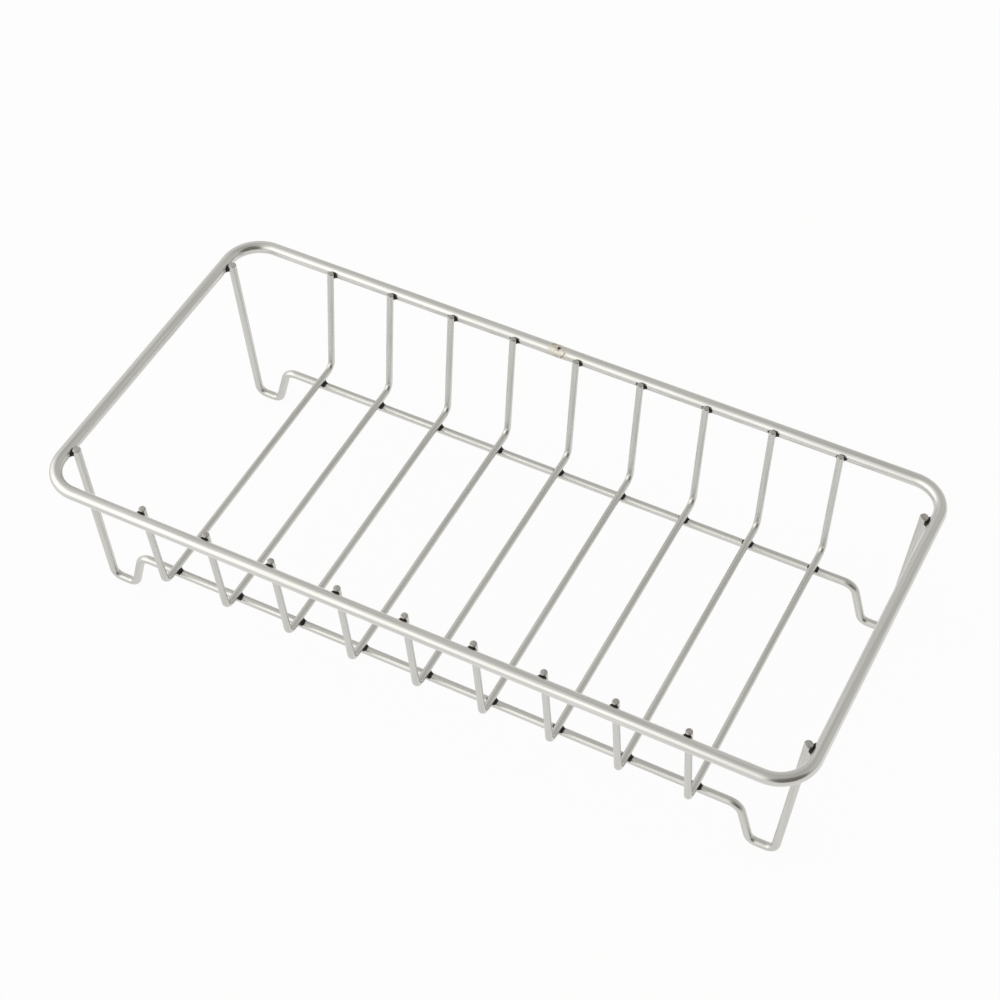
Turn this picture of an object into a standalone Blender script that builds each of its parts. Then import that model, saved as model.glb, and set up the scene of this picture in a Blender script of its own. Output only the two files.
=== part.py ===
# Wire soap basket of welded steel wire. A rim wire carries a row of U-shaped ribs, which make the
# floor and the long sides. Two runner wires lie under the ribs, dip at each end to make the four feet
# and rise to the rim. Every crossing is held by a weld.
# Metres, +Z up. X runs along the basket and Y across it, with the front at -Y. The feet stand on
# z = 0, and the origin lies on that level under the middle of the basket.

import math

import bmesh
import bpy
from mathutils import Vector

# Overall sizes, measured over the outside of the rim wire and down to the feet
BASKET_LENGTH = 0.338
BASKET_WIDTH = 0.166
BASKET_HEIGHT = 0.080

# Wire diameters
RIM_WIRE = 0.0055
RUNNER_WIRE = 0.0036
RIB_WIRE = 0.0030

# Rim: bend radius on the wire's centreline, and the butt weld that closes the back long side
RIM_BEND_RADIUS = 0.015
BUTT_WELD_X = -0.010
BUTT_WELD_LENGTH = 0.0014

# Ribs: how many, and how far the outermost ones stand in from the ends of the rim
RIB_COUNT = 9
RIB_END_SPACE = 0.049
# From the rim's centreline in to the corner between a rib's side and its floor
RIB_SIDE_SETBACK = 0.01015
RIB_BEND_RADIUS = 0.0045

# Runners: height of their underside, and how far they lie in from where a rib's floor goes flat
RUNNER_CLEARANCE = 0.0205
RUNNER_INSET = 0.00494
RUNNER_BEND_RADIUS = 0.006

# Feet: from the rim's centreline in to a foot's outer corner, the foot's length between its
# corners, and how far its inner leg runs outward on the way down
FOOT_SETBACK = 0.01125
FOOT_LENGTH = 0.011
FOOT_LEG_RUN = 0.0055
FOOT_BEND_RADIUS = 0.0042

# Fits: the space between wires that cross, the space between a weld and its wires, and how far
# the cut wire ends lie below the top of the rim
WIRE_GAP = 0.0003
WELD_GAP = 0.0001
WIRE_END_DROP = 0.0003
WIRE_END_CHAMFER = 0.0003

# Flats round each wire, steps along each bend, and where the corners of the three flats that face a
# weld lie, counted in flats from the middle one
RIM_SIDES = 16
WIRE_SIDES = 12
BEND_STEPS = 8
FACING_CORNERS = (-1.5, -0.5, 0.5, 1.5)

ACROSS = Vector((0, 1, 0))
ALONG = Vector((1, 0, 0))
UP = Vector((0, 0, 1))
QUARTER_TURN = math.pi / 2
HALF_TURN = math.pi
FULL_TURN = 2 * math.pi
SMOOTH_BELOW = math.radians(40)

# Finishes
STEEL_COLOUR = (0.60, 0.58, 0.55)
WELD_COLOUR = (0.25, 0.22, 0.20)
RIM_ROUGHNESS = 0.28
RUNNER_ROUGHNESS = 0.30
RIB_ROUGHNESS = 0.32
WELD_ROUGHNESS = 0.50

# Centrelines that the pieces share
rim_half_length = (BASKET_LENGTH - RIM_WIRE) / 2
rim_half_width = (BASKET_WIDTH - RIM_WIRE) / 2
rim_height = BASKET_HEIGHT - RIM_WIRE / 2
foot_height = RUNNER_WIRE / 2
runner_height = RUNNER_CLEARANCE + RUNNER_WIRE / 2
rib_height = runner_height + RUNNER_WIRE / 2 + WIRE_GAP + RIB_WIRE / 2
wire_end_height = BASKET_HEIGHT - WIRE_END_DROP
foot_outer_x = rim_half_length - FOOT_SETBACK
foot_inner_x = foot_outer_x - FOOT_LENGTH
runner_end_x = foot_inner_x - FOOT_LEG_RUN
rib_corner_y = rim_half_width - RIB_SIDE_SETBACK


def leaning_wire(foot_out, foot_up, rim_out, wire):
    """A straight wire that leans out from a corner and passes just inside the rim.

    Returns its lean from upright, and the place on its centreline that lies nearest the rim.
    """
    reach = Vector((rim_out - foot_out, rim_height - foot_up))
    distance = (RIM_WIRE + wire) / 2 + WIRE_GAP
    lean = math.atan2(reach.x, reach.y) - math.asin(distance / reach.length)
    run = math.sqrt(reach.length**2 - distance**2)
    nearest = Vector((foot_out + run * math.sin(lean), foot_up + run * math.cos(lean)))
    return lean, nearest


rib_lean, rib_at_rim = leaning_wire(rib_corner_y, rib_height, rim_half_width, RIB_WIRE)
riser_lean, riser_at_rim = leaning_wire(foot_outer_x, foot_height, rim_half_length, RUNNER_WIRE)
rib_floor_bend = RIB_BEND_RADIUS * math.tan((QUARTER_TURN - rib_lean) / 2)
runner_y = rib_corner_y - rib_floor_bend - RUNNER_INSET


def wire_end(nearest, lean):
    """Where a leaning wire is cut off, a little below the top of the rim."""
    rise = wire_end_height - nearest.y
    return Vector((nearest.x + rise * math.tan(lean), wire_end_height))


def left_of(way):
    return Vector((-way.y, way.x))


def bent_path(corners, radii):
    """Stations along a bent wire, each a point and a direction, with an arc at each inner corner."""
    stations = [(corners[0], (corners[1] - corners[0]).normalized())]
    for before, corner, after, radius in zip(corners, corners[1:], corners[2:], radii):
        way_in = (corner - before).normalized()
        way_out = (after - corner).normalized()
        turn = math.atan2(way_in.cross(way_out), way_in.dot(way_out))
        side = math.copysign(radius, turn)
        start = corner - way_in * radius * math.tan(abs(turn) / 2)
        centre = start + left_of(way_in) * side
        for step in range(BEND_STEPS + 1):
            angle = turn * step / BEND_STEPS
            way = way_in * math.cos(angle) + left_of(way_in) * math.sin(angle)
            stations.append((centre - left_of(way) * side, way))
    stations.append((corners[-1], (corners[-1] - corners[-2]).normalized()))
    return stations


def with_cut_ends(stations, chamfer):
    """Adds to each station how far the wire is taken in there, for a chamfer at both cut ends."""
    (first, first_way), (last, last_way) = stations[0], stations[-1]
    bevelled = [(first, first_way, chamfer), (first + first_way * chamfer, first_way, 0)]
    bevelled += [(point, way, 0) for point, way in stations[1:-1]]
    bevelled += [(last - last_way * chamfer, last_way, 0), (last, last_way, chamfer)]
    return bevelled


def wire_mesh(name, stations, plane, diameter, sides):
    """A closed mesh of a wire swept along stations that lie in one plane.

    The wire's flats lie at its diameter, and two of them are parallel to the plane.
    """
    right, up = plane
    normal = right.cross(up)
    angles = [FULL_TURN * (corner + 0.5) / sides for corner in range(sides)]
    mesh = bmesh.new()
    rings = []
    for point, way, taken_in in stations:
        centre = right * point.x + up * point.y
        aside = right * left_of(way).x + up * left_of(way).y
        radius = (diameter / 2 - taken_in) / math.cos(HALF_TURN / sides)
        spokes = [aside * math.cos(angle) + normal * math.sin(angle) for angle in angles]
        rings.append([mesh.verts.new(centre + spoke * radius) for spoke in spokes])
    for ring, following in zip(rings, rings[1:]):
        for corner in range(sides):
            beside = (corner + 1) % sides
            mesh.faces.new((ring[corner], ring[beside], following[beside], following[corner]))
    mesh.faces.new(rings[0])
    mesh.faces.new(rings[-1])
    return finished(mesh, name)


def flats_facing(radius, sides, turn, outward):
    """Corners of the three flats of a round wire that face a weld, held off by the weld's gap.

    Each is how far along the other wire it lies, and its height above the middle of the weld. The
    wire's centre lies half a wire gap and its radius away, above the weld if outward is 1, or below
    it if outward is -1.
    """
    corner_radius = (radius + WELD_GAP) / math.cos(HALF_TURN / sides)
    centre = outward * (radius + WIRE_GAP / 2)
    corners = []
    for place in FACING_CORNERS:
        angle = FULL_TURN * place / sides + turn
        height = centre - outward * corner_radius * math.cos(angle)
        corners.append((corner_radius * math.sin(angle), height))
    return corners


def weld_mesh(name, upper_wire, lower_wire, lower_sides, lean=0):
    """A weld that fills the space between two wires which cross at right angles.

    Its own frame has the lower wire along X and the upper wire along Y, above it. The lean is how
    far the lower wire's flats are turned from facing the upper wire.
    """
    over = flats_facing(upper_wire / 2, WIRE_SIDES, 0, 1)
    under = flats_facing(lower_wire / 2, lower_sides, -lean, -1)
    last = len(over) - 1
    mesh = bmesh.new()
    top = {}
    bottom = {}
    for column, (x, top_z) in enumerate(over):
        for row, (y, bottom_z) in enumerate(under):
            if column in (0, last) and row in (0, last):
                continue
            top[column, row] = mesh.verts.new((x, y, top_z))
            bottom[column, row] = mesh.verts.new((x, y, bottom_z))
    for column in range(last):
        for row in range(last):
            around = [(column, row), (column + 1, row), (column + 1, row + 1), (column, row + 1)]
            around = [place for place in around if place in top]
            mesh.faces.new([top[place] for place in around])
            mesh.faces.new([bottom[place] for place in reversed(around)])
    edge = [(1, 0), (2, 0), (3, 1), (3, 2), (2, 3), (1, 3), (0, 2), (0, 1)]
    for place, following in zip(edge, edge[1:] + edge[:1]):
        mesh.faces.new((bottom[place], bottom[following], top[following], top[place]))
    return finished(mesh, name)


def finished(mesh, name):
    """Turns a bmesh into a mesh whose faces point out and whose wire looks round."""
    bmesh.ops.recalc_face_normals(mesh, faces=mesh.faces)
    data = bpy.data.meshes.new(name)
    mesh.to_mesh(data)
    mesh.free()
    data.shade_smooth()
    data.set_sharp_from_angle(angle=SMOOTH_BELOW)
    return data


def steel(name, colour, roughness):
    material = bpy.data.materials.new(name)
    material.use_nodes = True
    shader = material.node_tree.nodes["Principled BSDF"]
    shader.inputs["Base Color"].default_value = (*colour, 1)
    shader.inputs["Metallic"].default_value = 1
    shader.inputs["Roughness"].default_value = roughness
    return material


def add(name, mesh, material, basket, location=(0, 0, 0), rotation=(0, 0, 0)):
    """Adds one named piece of the basket."""
    if not mesh.materials:
        mesh.materials.append(material)
    piece = bpy.data.objects.new(name, mesh)
    piece.location = location
    piece.rotation_euler = rotation
    piece.parent = basket
    bpy.context.scene.collection.objects.link(piece)
    return piece


def add_rim(basket):
    """The rim is one wire bent to a rectangle, closed by a butt weld on the back long side."""
    half_opening = BUTT_WELD_LENGTH / 2 + WIRE_GAP
    corners = [
        Vector((BUTT_WELD_X + half_opening, rim_half_width)),
        Vector((rim_half_length, rim_half_width)),
        Vector((rim_half_length, -rim_half_width)),
        Vector((-rim_half_length, -rim_half_width)),
        Vector((-rim_half_length, rim_half_width)),
        Vector((BUTT_WELD_X - half_opening, rim_half_width)),
    ]
    path = [(point, way, 0) for point, way in bent_path(corners, [RIM_BEND_RADIUS] * 4)]
    mesh = wire_mesh("rim_wire", path, (ALONG, ACROSS), RIM_WIRE, RIM_SIDES)
    material = steel("rim_steel", STEEL_COLOUR, RIM_ROUGHNESS)
    add("rim_wire", mesh, material, basket, UP * rim_height)


def add_butt_weld(basket, material):
    """The weld between the rim wire's two ends, ground flush with the wire."""
    half = Vector((BUTT_WELD_LENGTH / 2, 0))
    way = Vector((1, 0))
    path = [(-half, way, 0), (half, way, 0)]
    mesh = wire_mesh("rim_butt_weld", path, (ALONG, ACROSS), RIM_WIRE, RIM_SIDES)
    add("rim_butt_weld", mesh, material, basket, (BUTT_WELD_X, rim_half_width, rim_height))


def rib_places():
    """The ribs' places along the basket, evenly spaced and numbered from the left."""
    outermost = BASKET_LENGTH / 2 - RIB_END_SPACE
    for number in range(RIB_COUNT):
        share = number / (RIB_COUNT - 1)
        yield number + 1, outermost * (2 * share - 1)


def add_ribs(basket):
    """Each rib is a U: two sides that lean out to the rim, and the floor between them."""
    end = wire_end(rib_at_rim, rib_lean)
    corner = Vector((rib_corner_y, rib_height))
    corners = [Vector((-end.x, end.y)), Vector((-corner.x, corner.y)), corner, end]
    path = with_cut_ends(bent_path(corners, [RIB_BEND_RADIUS] * 2), WIRE_END_CHAMFER)
    mesh = wire_mesh("rib", path, (ACROSS, UP), RIB_WIRE, WIRE_SIDES)
    material = steel("rib_steel", STEEL_COLOUR, RIB_ROUGHNESS)
    for number, x in rib_places():
        add(f"rib_{number}", mesh, material, basket, ALONG * x)


def add_runners(basket):
    """Each runner is straight under the ribs, dips to a foot at each end and rises to the rim."""
    half = [
        wire_end(riser_at_rim, riser_lean),
        Vector((foot_outer_x, foot_height)),
        Vector((foot_inner_x, foot_height)),
        Vector((runner_end_x, runner_height)),
    ]
    corners = [Vector((-corner.x, corner.y)) for corner in half] + half[::-1]
    radii = [FOOT_BEND_RADIUS, FOOT_BEND_RADIUS, RUNNER_BEND_RADIUS]
    path = with_cut_ends(bent_path(corners, radii + radii[::-1]), WIRE_END_CHAMFER)
    mesh = wire_mesh("runner", path, (ALONG, UP), RUNNER_WIRE, WIRE_SIDES)
    material = steel("runner_steel", STEEL_COLOUR, RUNNER_ROUGHNESS)
    add("runner_front", mesh, material, basket, ACROSS * -runner_y)
    add("runner_back", mesh, material, basket, ACROSS * runner_y)


def beside_rim(rim_out, lean):
    """How far out and how high the middle of a weld lies, inside the rim wire."""
    off = (RIM_WIRE + WIRE_GAP) / 2
    return rim_out - off * math.cos(lean), rim_height + off * math.sin(lean)


def add_rib_welds(basket, material):
    """Each rib is welded to the rim at both ends, and to both runners under its floor."""
    at_rim = weld_mesh("weld_at_rim", RIB_WIRE, RIM_WIRE, RIM_SIDES, rib_lean)
    at_runner = weld_mesh("weld_at_runner", RIB_WIRE, RUNNER_WIRE, WIRE_SIDES)
    out, up = beside_rim(rim_half_width, rib_lean)
    over_runner = runner_height + (RUNNER_WIRE + WIRE_GAP) / 2
    tilt = QUARTER_TURN - rib_lean
    for number, x in rib_places():
        for side, way, half_turn in (("front", -1, HALF_TURN), ("back", 1, 0)):
            place = (x, way * out, up)
            add(f"weld_rib_{number}_rim_{side}", at_rim, material, basket, place, (tilt, 0, half_turn))
            place = (x, way * runner_y, over_runner)
            add(f"weld_rib_{number}_runner_{side}", at_runner, material, basket, place)


def add_riser_welds(basket, material):
    """Each runner's two risers are welded to the short sides of the rim."""
    at_riser = weld_mesh("weld_at_riser", RUNNER_WIRE, RIM_WIRE, RIM_SIDES, riser_lean)
    out, up = beside_rim(rim_half_length, riser_lean)
    tilt = QUARTER_TURN - riser_lean
    for side, across in (("front", -1), ("back", 1)):
        for end, way in (("left", -1), ("right", 1)):
            place = (way * out, across * runner_y, up)
            turned = (tilt, 0, -way * QUARTER_TURN)
            add(f"weld_riser_{side}_{end}", at_riser, material, basket, place, turned)


def main():
    for piece in list(bpy.data.objects):
        bpy.data.objects.remove(piece, do_unlink=True)
    basket = bpy.data.objects.new("basket", None)
    bpy.context.scene.collection.objects.link(basket)
    weld_steel = steel("weld_steel", WELD_COLOUR, WELD_ROUGHNESS)
    add_rim(basket)
    add_butt_weld(basket, weld_steel)
    add_ribs(basket)
    add_runners(basket)
    add_rib_welds(basket, weld_steel)
    add_riser_welds(basket, weld_steel)


if __name__ == "__main__":
    main()
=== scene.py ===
# Soap basket of welded stainless steel wire: its round wires, the weld collars where they cross, the
# finish of the steel, and the floor, light and camera to see it by.
# Metres, +Z up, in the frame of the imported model: X along the basket, the front at -Y, feet at z = 0.

import math

import bpy
import numpy as np
from bpy.props import FloatProperty, FloatVectorProperty, PointerProperty
from mathutils import Matrix, Vector, noise


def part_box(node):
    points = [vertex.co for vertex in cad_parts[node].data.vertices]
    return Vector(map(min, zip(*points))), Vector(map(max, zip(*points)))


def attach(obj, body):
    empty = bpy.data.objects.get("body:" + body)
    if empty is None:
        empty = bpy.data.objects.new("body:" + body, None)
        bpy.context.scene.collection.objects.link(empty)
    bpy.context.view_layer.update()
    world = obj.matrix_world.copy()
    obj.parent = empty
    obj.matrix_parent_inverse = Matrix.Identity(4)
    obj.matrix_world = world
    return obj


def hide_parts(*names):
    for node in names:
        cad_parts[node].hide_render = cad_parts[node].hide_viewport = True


bl_info = {
    "name": "Wire Soap Basket",
    "version": (1, 0, 0),
    "blender": (4, 5, 0),
    "location": "3D View > Sidebar > Basket",
    "description": "Makes the wires, weld collars and stage of a stainless steel wire soap basket",
    "category": "Object",
}

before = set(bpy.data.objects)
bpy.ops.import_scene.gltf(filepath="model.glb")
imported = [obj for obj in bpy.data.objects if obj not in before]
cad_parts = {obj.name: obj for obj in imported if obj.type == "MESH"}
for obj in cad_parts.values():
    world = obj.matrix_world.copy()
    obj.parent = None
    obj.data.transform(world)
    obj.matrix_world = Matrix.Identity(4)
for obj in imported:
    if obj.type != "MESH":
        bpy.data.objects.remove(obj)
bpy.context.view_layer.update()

ALONG = Vector((1, 0, 0))
ACROSS = Vector((0, 1, 0))
UP = Vector((0, 0, 1))
QUARTER_TURN = math.pi / 2
FULL_TURN = 2 * math.pi
RIB_COUNT = sum(node.startswith("rib_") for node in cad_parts)
SIDES = (("front", -1), ("back", 1))
ENDS = (("left", -1), ("right", 1))

MM_PER_METRE = 1000

# Fineness of the meshes: rings along a wire and at its cut ends, steps along a bend, and corners
# round each piece
RING_SPACING = 0.001
END_RINGS = 5
BEND_STEP = math.radians(4)
RIM_CORNERS = 56
WIRE_CORNERS = 36
COLLAR_CORNERS = 48
COLLAR_RINGS = 8
SEAM_RINGS = 24
# How far the cut face's finish runs over its rounded edge, as a share of the rounding
CUT_FACE_REACH = 0.9
# How far a new wire's box may differ from that of the node it stands for
FIT_TOLERANCE = 0.0003


def linear(code):
    """An sRGB hex colour as the linear values that shaders use."""
    values = [int(code[place : place + 2], 16) / 255 for place in (0, 2, 4)]
    return tuple(v / 12.92 if v <= 0.04045 else ((v + 0.055) / 1.055) ** 2.4 for v in values)


def millimetres(value):
    return value / MM_PER_METRE


def size(name, description, mm):
    """A length that the user can change, with its default in millimetres."""
    default = millimetres(mm)
    return FloatProperty(name=name, description=description, default=default, min=0, unit="LENGTH")


def share(name, description, default):
    return FloatProperty(name=name, description=description, default=default, min=0, max=1, subtype="FACTOR")


def colour(name, description, code):
    return FloatVectorProperty(
        name=name, description=description, default=linear(code), min=0, max=1, size=3, subtype="COLOR"
    )


class BasketShape(bpy.types.PropertyGroup):
    """Bends, fits and welds. Lengths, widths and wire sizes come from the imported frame."""

    rim_bend: size("Rim bend", "Radius of the rim's corners, on the wire's centreline", 15)
    rib_setback: size("Rib setback", "From the rim's centreline in to a rib's lower corner", 10.15)
    rib_bend: size("Rib bend", "Radius between a rib's floor and its sides", 4.5)
    runner_bend: size("Runner bend", "Radius where a runner turns down to a foot", 6)
    foot_setback: size("Foot setback", "From the rim's centreline in to a foot's outer corner", 11.25)
    foot_length: size("Foot length", "Between a foot's two corners", 11)
    foot_run: size("Foot run", "How far a foot's inner leg runs outward on its way down", 5.5)
    foot_bend: size("Foot bend", "Radius of a foot's two corners", 4.2)
    wire_gap: size("Wire gap", "Space between wires that cross, which the weld fills", 0.3)
    end_drop: size("End drop", "How far the cut wire ends lie below the top of the rim", 0.3)
    end_rounding: size("End rounding", "Radius of the tumbled edge of a cut wire end", 0.45)
    bend_flattening: share("Bend flattening", "How much a wire goes oval in its tightest bends", 0.04)
    collar_reach: size("Collar reach", "How far a weld's collar spreads past the upper wire", 1.05)
    collar_height: size("Collar height", "From a joint's middle to its collar's edge on the lower wire", 2.05)
    collar_top: size("Collar top", "The same at the rim, on the side of the upper wire's cut end", 0.85)
    collar_grip: size("Collar grip", "Half the length of a weld's collar along the upper wire", 1.95)
    seam_length: size("Seam length", "Length of the bead of the rim's butt weld", 1.5)
    seam_tongue: size("Seam tongue", "How far the bead was smeared to the right by the grinding", 2.6)
    seam_proud: size("Seam proud", "How far the ground bead stands out", 0.05)
    ground_length: size("Ground length", "How far from its weld the rim was ground, to each side", 6.5)


class BasketFinish(bpy.types.PropertyGroup):
    """Colours and roughness of the steel and of the scale at the welds, whose black is partly painted shade.
    """

    rim: colour("Rim", "Stainless steel 304, bright drawn and polished", "D9D8D4")
    rim_worn: colour("Rim streaks", "The same steel between the die's lines", "CBC9C5")
    wire: colour("Wire", "Stainless steel 304, bright drawn, of the ribs and runners", "D3D2CE")
    wire_worn: colour("Wire streaks", "The same steel between the die's lines", "C5C3BE")
    ground: colour("Ground steel", "Fresh steel where the butt weld was ground", "D6D2C8")
    ground_tinted: colour("Ground steel, tinted", "Heat tint left in patches of the ground steel", "AE9E92")
    straw: colour("Straw tint", "First heat tint round a weld", "C6BFB2")
    bronze: colour("Bronze tint", "Heat tint next to a weld", "7C736B")
    # The collars' black and brown are partly the weld's oxide and partly painted shade, standing in for the
    # shaded crevice between crossing wires
    scale: colour("Scale", "Black oxide of the weld", "171514")
    scale_light: colour("Scale, lighter", "Brown oxide in patches on the weld", "3A2F29")
    pitted: colour("Pits", "Dull film left in the pits of a sheared wire end", "958F88")
    rim_roughness: share("Rim roughness", "Roughness of the polished rim", 0.22)
    wire_roughness: share("Wire roughness", "Roughness of the drawn ribs and runners", 0.31)
    end_roughness: share("End roughness", "Roughness of the sheared wire ends", 0.42)


class BasketStage(bpy.types.PropertyGroup):
    """Floor, light and camera."""

    floor: colour("Floor", "Matt white sweep that the basket stands on", "F8F8F6")
    walls: colour("Walls", "Pale walls that the steel reflects", "D8D8D6")
    ceiling: colour("Ceiling", "Pale ceiling, which less light reaches", "B9B9B7")
    dim_side: colour("Dim side", "The unlit side of the room", "827E78")
    window_strength: FloatProperty(
        name="Window", description="Brightness of the lit side", default=2.25, min=0
    )
    lamp_strength: FloatProperty(
        name="Soft light", description="Power of the lamp", default=7, min=0, unit="POWER"
    )
    floor_glow: share("Floor glow", "How far the floor is seen as plain white", 0.93)
    camera_distance: size("Camera distance", "From the camera to the place it looks at", 962.6)
    camera_lens: size("Lens", "Focal length on a 36 mm wide sensor", 81.49)


class Layout:
    """Centrelines and wire sizes, worked out from the frame's boxes and the shape's sizes."""

    def __init__(self, shape):
        rim_low, rim_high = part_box("rim_wire")
        runner_low, runner_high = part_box("runner_back")
        rib_low, rib_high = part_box("rib_1")
        self.shape = shape
        self.rim_radius = (rim_high.z - rim_low.z) / 2
        self.runner_radius = (runner_high.y - runner_low.y) / 2
        self.rib_radius = (rib_high.x - rib_low.x) / 2
        self.rim_height = rim_high.z - self.rim_radius
        self.rim_half_length = rim_high.x - self.rim_radius
        self.rim_half_width = rim_high.y - self.rim_radius
        self.rib_height = rib_low.z + self.rib_radius
        self.runner_height = self.rib_height - self.rib_radius - shape.wire_gap - self.runner_radius
        self.runner_y = (runner_low.y + runner_high.y) / 2
        self.foot_height = runner_low.z + self.runner_radius
        self.end_height = rim_high.z - shape.end_drop
        self.foot_outer_x = self.rim_half_length - shape.foot_setback
        self.foot_inner_x = self.foot_outer_x - shape.foot_length
        self.rib_corner_y = self.rim_half_width - shape.rib_setback
        self.rib_lean = self.lean(self.rib_corner_y, self.rib_height, self.rim_half_width, self.rib_radius)
        self.riser_lean = self.lean(
            self.foot_outer_x, self.foot_height, self.rim_half_length, self.runner_radius
        )
        seam_low, seam_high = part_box("rim_butt_weld")
        self.seam_x = (seam_low.x + seam_high.x) / 2

    def lean(self, foot_out, foot_up, rim_out, radius):
        """How far from upright a straight wire leans that passes just inside the rim."""
        reach = Vector((rim_out - foot_out, self.rim_height - foot_up))
        distance = self.rim_radius + radius + self.shape.wire_gap
        return math.atan2(reach.x, reach.y) - math.asin(distance / reach.length)

    def wire_end(self, foot_out, foot_up, lean):
        """Where a leaning wire is cut off, a little below the top of the rim."""
        return Vector((foot_out + (self.end_height - foot_up) * math.tan(lean), self.end_height))

    def rib_xs(self):
        """Each rib's number and its place along the basket."""
        for number in range(1, RIB_COUNT + 1):
            low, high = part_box(f"rib_{number}")
            yield number, (low.x + high.x) / 2

    def joints(self):
        """Each crossing of two wires: its node, its frame and the lower and upper wires' radii.

        The frame's X runs along the lower wire, its Y along the upper one, and its Z from the lower
        wire to the upper one. Its origin is halfway between their surfaces.
        """
        at_rim = self.rim_radius + self.shape.wire_gap / 2
        over_runner = self.runner_height + self.runner_radius + self.shape.wire_gap / 2
        for number, x in self.rib_xs():
            for side, way in SIDES:
                outward = ACROSS * way
                centre = ALONG * x + outward * self.rim_half_width + UP * self.rim_height
                frame_at_rim = leaning_frame(centre, outward, self.rib_lean, at_rim)
                yield f"weld_rib_{number}_rim_{side}", frame_at_rim, self.rim_radius, self.rib_radius
                place = Vector((x, way * self.runner_y, over_runner))
                flat = Matrix.Translation(place)
                yield f"weld_rib_{number}_runner_{side}", flat, self.runner_radius, self.rib_radius
        for side, across in SIDES:
            for end, way in ENDS:
                outward = ALONG * way
                centre = outward * self.rim_half_length + UP * self.rim_height
                centre += ACROSS * across * self.runner_y
                frame_at_rim = leaning_frame(centre, outward, self.riser_lean, at_rim)
                yield f"weld_riser_{side}_{end}", frame_at_rim, self.rim_radius, self.runner_radius


def leaning_frame(rim_centre, outward, lean, distance):
    """The frame of a joint between the rim and a wire that leans outward, inside it."""
    upper_way = outward * math.sin(lean) + UP * math.cos(lean)
    facing = UP * math.sin(lean) - outward * math.cos(lean)
    lower_way = upper_way.cross(facing)
    turned = Matrix((lower_way, upper_way, facing)).transposed().to_4x4()
    return Matrix.Translation(rim_centre + facing * distance) @ turned


def straight_run(start, end):
    """Closely spaced points from start up to, but not including, end."""
    steps = max(1, round((end - start).length / RING_SPACING))
    way = (end - start).normalized()
    return [(start.lerp(end, step / steps), way) for step in range(steps)]


def bent_path(corners, radii):
    """Closely spaced points and directions along a bent wire, with an arc at each inner corner."""
    path = []
    start = corners[0]
    for before, corner, after, radius in zip(corners, corners[1:], corners[2:], radii):
        way_in = (corner - before).normalized()
        way_out = (after - corner).normalized()
        turn = math.atan2(way_in.cross(way_out), way_in.dot(way_out))
        steps = math.ceil(abs(turn) / BEND_STEP)
        side = math.copysign(radius, turn)
        bend_start = corner - way_in * radius * math.tan(abs(turn) / 2)
        centre = bend_start + left_of(way_in) * side
        path += straight_run(start, bend_start)
        for step in range(steps + 1):
            angle = turn * step / steps
            way = way_in * math.cos(angle) + left_of(way_in) * math.sin(angle)
            path.append((centre - left_of(way) * side, way))
        start = path.pop()[0]
    path += straight_run(start, corners[-1])
    path.append((corners[-1], (corners[-1] - start).normalized()))
    return path


def left_of(way):
    return Vector((-way.y, way.x))


def with_close_ends(path, rounding):
    """Adds rings close to both cut ends, where the wire's edge is rounded."""
    (first, first_way), (last, last_way) = path[0], path[-1]
    steps = range(END_RINGS + 1)
    depths = [rounding * (1 - math.cos(QUARTER_TURN * step / END_RINGS)) for step in steps]
    start = [(first + first_way * depth, first_way) for depth in depths]
    end = [(last - last_way * depth, last_way) for depth in reversed(depths)]
    return start + path[1:-1] + end


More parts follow.
